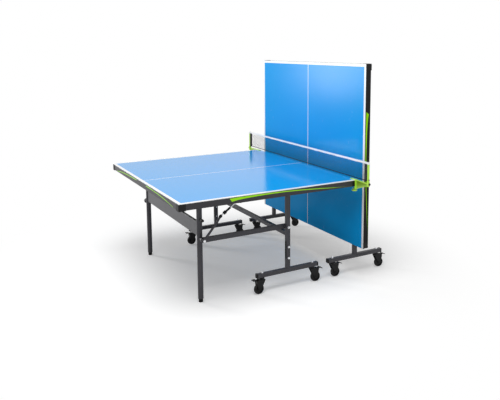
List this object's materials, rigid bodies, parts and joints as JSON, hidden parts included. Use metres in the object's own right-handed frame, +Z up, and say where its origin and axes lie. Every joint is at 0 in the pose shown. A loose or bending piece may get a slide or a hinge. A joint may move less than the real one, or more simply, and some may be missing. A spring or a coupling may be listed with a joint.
{
  "type": "ping pong table",
  "caption": "Full-size folding ping pong table on casters, one half open for play and the other stood up as a playback wall, with a clamped net.",
  "frame": {"origin": "on the floor, below the middle of the object's bounding box", "axes": "+X along the table from the open half to the upright half, +Y across it along the net, +Z up"},
  "size_m": [1.7525, 1.833, 1.5965],
  "materials": {
    "playing_surface": "smooth coated composite, semi gloss",
    "apron_paint": "fine powder coat",
    "black_plastic": "fine grained moulding",
    "frame_paint": "fine powder coat",
    "zinc_bolts": "bright zinc plated",
    "leg_panel_paint": "powder coat",
    "foot_rubber": "matte",
    "zinc_rod": "zinc plated",
    "lime_enamel": "gloss enamel",
    "net_mesh": "knotted nylon mesh",
    "net_tape": "woven tape",
    "caster_fork": "glass filled nylon",
    "caster_wheel": "moulded rubber tread",
    "caster_brake": "glass filled nylon"
  },
  "bodies": {
    "carriage_a": {"carriage_frame_a": "frame_paint", "carriage_plastics_a": "black_plastic", "carriage_bolts_a": "zinc_bolts"},
    "top_a": {"playing_panel_a": "playing_surface", "aprons_a": "apron_paint", "corner_caps_a": "black_plastic", "under_frame_a": "frame_paint", "net_brackets": "lime_enamel", "net_post_cores": "black_plastic", "net_mesh": "net_mesh", "net_tape": "net_tape"},
    "legs_a": {"leg_tubes_a": "frame_paint", "leg_panel_a": "leg_panel_paint", "leg_plastics_a": "black_plastic"},
    "links_a": {"link_bars_a": "frame_paint"},
    "stays_a": {"stay_tubes_a": "frame_paint", "stay_rods_a": "zinc_rod"},
    "foot_a_near": {"levelling_foot_near_a": "foot_rubber"},
    "foot_a_far": {"levelling_foot_far_a": "foot_rubber"},
    "carriage_b": {"carriage_frame_b": "frame_paint", "carriage_plastics_b": "black_plastic", "carriage_bolts_b": "zinc_bolts"},
    "top_b": {"playing_panel_b": "playing_surface", "aprons_b": "apron_paint", "corner_caps_b": "black_plastic", "under_frame_b": "frame_paint"},
    "legs_b": {"leg_tubes_b": "frame_paint", "leg_panel_b": "leg_panel_paint", "leg_plastics_b": "black_plastic"},
    "links_b": {"link_bars_b": "frame_paint"},
    "stays_b": {"stay_tubes_b": "frame_paint", "stay_rods_b": "zinc_rod"},
    "foot_b_near": {"levelling_foot_near_b": "foot_rubber"},
    "foot_b_far": {"levelling_foot_far_b": "foot_rubber"},
    "clamp_screw_near": {"clamp_screw_near": "lime_enamel"},
    "clamp_screw_far": {"clamp_screw_far": "lime_enamel"},
    "fork_a_outer_near": {"caster_fork_a_outer_near": "caster_fork"},
    "wheel_a_outer_near": {"caster_wheel_a_outer_near": "caster_wheel"},
    "brake_a_outer_near": {"caster_brake_a_outer_near": "caster_brake"},
    "fork_a_net_near": {"caster_fork_a_net_near": "caster_fork"},
    "wheel_a_net_near": {"caster_wheel_a_net_near": "caster_wheel"},
    "brake_a_net_near": {"caster_brake_a_net_near": "caster_brake"},
    "fork_a_outer_far": {"caster_fork_a_outer_far": "caster_fork"},
    "wheel_a_outer_far": {"caster_wheel_a_outer_far": "caster_wheel"},
    "brake_a_outer_far": {"caster_brake_a_outer_far": "caster_brake"},
    "fork_a_net_far": {"caster_fork_a_net_far": "caster_fork"},
    "wheel_a_net_far": {"caster_wheel_a_net_far": "caster_wheel"},
    "brake_a_net_far": {"caster_brake_a_net_far": "caster_brake"},
    "fork_b_net_near": {"caster_fork_b_net_near": "caster_fork"},
    "wheel_b_net_near": {"caster_wheel_b_net_near": "caster_wheel"},
    "brake_b_net_near": {"caster_brake_b_net_near": "caster_brake"},
    "fork_b_outer_near": {"caster_fork_b_outer_near": "caster_fork"},
    "wheel_b_outer_near": {"caster_wheel_b_outer_near": "caster_wheel"},
    "brake_b_outer_near": {"caster_brake_b_outer_near": "caster_brake"},
    "fork_b_net_far": {"caster_fork_b_net_far": "caster_fork"},
    "wheel_b_net_far": {"caster_wheel_b_net_far": "caster_wheel"},
    "brake_b_net_far": {"caster_brake_b_net_far": "caster_brake"},
    "fork_b_outer_far": {"caster_fork_b_outer_far": "caster_fork"},
    "wheel_b_outer_far": {"caster_wheel_b_outer_far": "caster_wheel"},
    "brake_b_outer_far": {"caster_brake_b_outer_far": "caster_brake"}
  },
  "joints": [
    {"name": "fold_a", "type": "hinge", "parent": "carriage_a", "child": "top_a", "pos_m": [-0.01325, 0, 0.734], "axis": [0, 1, 0], "range_deg": [0, 90]},
    {"name": "legs_swing_a", "type": "hinge", "parent": "top_a", "child": "legs_a", "pos_m": [-0.65125, 0, 0.734], "axis": [0, 1, 0], "range_deg": [-90, 0]},
    {"name": "links_swing_a", "type": "hinge", "parent": "carriage_a", "child": "links_a", "pos_m": [-0.01325, 0, 0.449], "axis": [0, 1, 0], "range_deg": [0, 90]},
    {"name": "stays_swing_a", "type": "hinge", "parent": "top_a", "child": "stays_a", "pos_m": [-0.39625, 0, 0.692], "axis": [0, 1, 0], "range_deg": [0, 38]},
    {"name": "roll_b", "type": "slide", "parent": "carriage_a", "child": "carriage_b", "axis": [1, 0, 0], "range_m": [0, 0.49]},
    {"name": "fold_b", "type": "hinge", "parent": "carriage_b", "child": "top_b", "pos_m": [0.58375, 0, 0.734], "axis": [0, 1, 0], "range_deg": [0, 90]},
    {"name": "legs_swing_b", "type": "hinge", "parent": "top_b", "child": "legs_b", "pos_m": [0.58375, 0, 1.372], "axis": [0, 1, 0], "range_deg": [-90, 0]},
    {"name": "links_swing_b", "type": "hinge", "parent": "carriage_b", "child": "links_b", "pos_m": [0.58375, 0, 0.449], "axis": [0, 1, 0], "range_deg": [0, 90]},
    {"name": "stays_swing_b", "type": "hinge", "parent": "top_b", "child": "stays_b", "pos_m": [0.62575, 0, 1.117], "axis": [0, 1, 0], "range_deg": [0, 38]},
    {"name": "foot_a_near_level", "type": "slide", "parent": "legs_a", "child": "foot_a_near", "axis": [0, 0, 1], "range_m": [-0.012, 0]},
    {"name": "foot_a_far_level", "type": "slide", "parent": "legs_a", "child": "foot_a_far", "axis": [0, 0, 1], "range_m": [-0.012, 0]},
    {"name": "foot_b_near_level", "type": "slide", "parent": "legs_b", "child": "foot_b_near", "axis": [0, 0, 1], "range_m": [-0.012, 0]},
    {"name": "foot_b_far_level", "type": "slide", "parent": "legs_b", "child": "foot_b_far", "axis": [0, 0, 1], "range_m": [-0.012, 0]},
    {"name": "clamp_screw_near_turn", "type": "hinge", "parent": "top_a", "child": "clamp_screw_near", "pos_m": [0.48175, -0.7475, 0], "axis": [0, 0, 1], "continuous": true},
    {"name": "clamp_screw_far_turn", "type": "hinge", "parent": "top_a", "child": "clamp_screw_far", "pos_m": [0.48175, 0.7475, 0], "axis": [0, 0, 1], "continuous": true},
    {"name": "swivel_a_outer_near", "type": "hinge", "parent": "carriage_a", "child": "fork_a_outer_near", "pos_m": [-0.22125, -0.625, 0], "axis": [0, 0, 1], "continuous": true},
    {"name": "wheel_a_outer_near_roll", "type": "hinge", "parent": "fork_a_outer_near", "child": "wheel_a_outer_near", "pos_m": [-0.24918, -0.62695, 0.038], "axis": [0.0698, -0.9976, 0], "continuous": true},
    {"name": "brake_a_outer_near_press", "type": "hinge", "parent": "fork_a_outer_near", "child": "brake_a_outer_near", "pos_m": [-0.26315, -0.62793, 0.093], "axis": [0.0698, -0.9976, 0], "range_deg": [0, 18]},
    {"name": "swivel_a_net_near", "type": "hinge", "parent": "carriage_a", "child": "fork_a_net_near", "pos_m": [0.19475, -0.625, 0], "axis": [0, 0, 1], "continuous": true},
    {"name": "wheel_a_net_near_roll", "type": "hinge", "parent": "fork_a_net_near", "child": "wheel_a_net_near", "pos_m": [0.22268, -0.62695, 0.038], "axis": [0.0698, 0.9976, 0], "continuous": true},
    {"name": "brake_a_net_near_press", "type": "hinge", "parent": "fork_a_net_near", "child": "brake_a_net_near", "pos_m": [0.23665, -0.62793, 0.093], "axis": [0.0698, 0.9976, 0], "range_deg": [-18, 0]},
    {"name": "swivel_a_outer_far", "type": "hinge", "parent": "carriage_a", "child": "fork_a_outer_far", "pos_m": [-0.22125, 0.625, 0], "axis": [0, 0, 1], "continuous": true},
    {"name": "wheel_a_outer_far_roll", "type": "hinge", "parent": "fork_a_outer_far", "child": "wheel_a_outer_far", "pos_m": [-0.24921, 0.62647, 0.038], "axis": [-0.0523, -0.9986, 0], "continuous": true},
    {"name": "brake_a_outer_far_press", "type": "hinge", "parent": "fork_a_outer_far", "child": "brake_a_outer_far", "pos_m": [-0.26319, 0.6272, 0.093], "axis": [-0.0523, -0.9986, 0], "range_deg": [0, 18]},
    {"name": "swivel_a_net_far", "type": "hinge", "parent": "carriage_a", "child": "fork_a_net_far", "pos_m": [0.19475, 0.625, 0], "axis": [0, 0, 1], "continuous": true},
    {"name": "wheel_a_net_far_roll", "type": "hinge", "parent": "fork_a_net_far", "child": "wheel_a_net_far", "pos_m": [0.2226, 0.62793, 0.038], "axis": [-0.1045, 0.9945, 0], "continuous": true},
    {"name": "brake_a_net_far_press", "type": "hinge", "parent": "fork_a_net_far", "child": "brake_a_net_far", "pos_m": [0.23652, 0.62939, 0.093], "axis": [-0.1045, 0.9945, 0], "range_deg": [-18, 0]},
    {"name": "swivel_b_net_near", "type": "hinge", "parent": "carriage_b", "child": "fork_b_net_near", "pos_m": [0.37575, -0.625, 0], "axis": [0, 0, 1], "continuous": true},
    {"name": "wheel_b_net_near_roll", "type": "hinge", "parent": "fork_b_net_near", "child": "wheel_b_net_near", "pos_m": [0.40371, -0.62353, 0.038], "axis": [-0.0523, 0.9986, 0], "continuous": true},
    {"name": "brake_b_net_near_press", "type": "hinge", "parent": "fork_b_net_near", "child": "brake_b_net_near", "pos_m": [0.41769, -0.6228, 0.093], "axis": [-0.0523, 0.9986, 0], "range_deg": [-18, 0]},
    {"name": "swivel_b_outer_near", "type": "hinge", "parent": "carriage_b", "child": "fork_b_outer_near", "pos_m": [0.79175, -0.625, 0], "axis": [0, 0, 1], "continuous": true},
    {"name": "wheel_b_outer_near_roll", "type": "hinge", "parent": "fork_b_outer_near", "child": "wheel_b_outer_near", "pos_m": [0.81975, -0.625, 0.038], "axis": [0, 1, 0], "continuous": true},
    {"name": "brake_b_outer_near_press", "type": "hinge", "parent": "fork_b_outer_near", "child": "brake_b_outer_near", "pos_m": [0.83375, -0.625, 0.093], "axis": [0, 1, 0], "range_deg": [-18, 0]},
    {"name": "swivel_b_net_far", "type": "hinge", "parent": "carriage_b", "child": "fork_b_net_far", "pos_m": [0.37575, 0.625, 0], "axis": [0, 0, 1], "continuous": true},
    {"name": "wheel_b_net_far_roll", "type": "hinge", "parent": "fork_b_net_far", "child": "wheel_b_net_far", "pos_m": [0.40348, 0.6211, 0.038], "axis": [0.1392, 0.9903, 0], "continuous": true},
    {"name": "brake_b_net_far_press", "type": "hinge", "parent": "fork_b_net_far", "child": "brake_b_net_far", "pos_m": [0.41734, 0.61916, 0.093], "axis": [0.1392, 0.9903, 0], "range_deg": [-18, 0]},
    {"name": "swivel_b_outer_far", "type": "hinge", "parent": "carriage_b", "child": "fork_b_outer_far", "pos_m": [0.79175, 0.625, 0], "axis": [0, 0, 1], "continuous": true},
    {"name": "wheel_b_outer_far_roll", "type": "hinge", "parent": "fork_b_outer_far", "child": "wheel_b_outer_far", "pos_m": [0.81968, 0.62695, 0.038], "axis": [-0.0698, 0.9976, 0], "continuous": true},
    {"name": "brake_b_outer_far_press", "type": "hinge", "parent": "fork_b_outer_far", "child": "brake_b_outer_far", "pos_m": [0.83365, 0.62793, 0.093], "axis": [-0.0698, 0.9976, 0], "range_deg": [-18, 0]}
  ],
  "couplings": [
    {"joint": "legs_swing_a", "follows": "fold_a", "ratio": -1},
    {"joint": "links_swing_a", "follows": "fold_a", "ratio": 1},
    {"joint": "stays_swing_a", "follows": "fold_a", "ratio": 0.42222},
    {"joint": "roll_b", "follows": "fold_b", "m_per_rad": 0.31194},
    {"joint": "legs_swing_b", "follows": "fold_b", "ratio": -1},
    {"joint": "links_swing_b", "follows": "fold_b", "ratio": 1},
    {"joint": "stays_swing_b", "follows": "fold_b", "ratio": 0.42222}
  ]
}
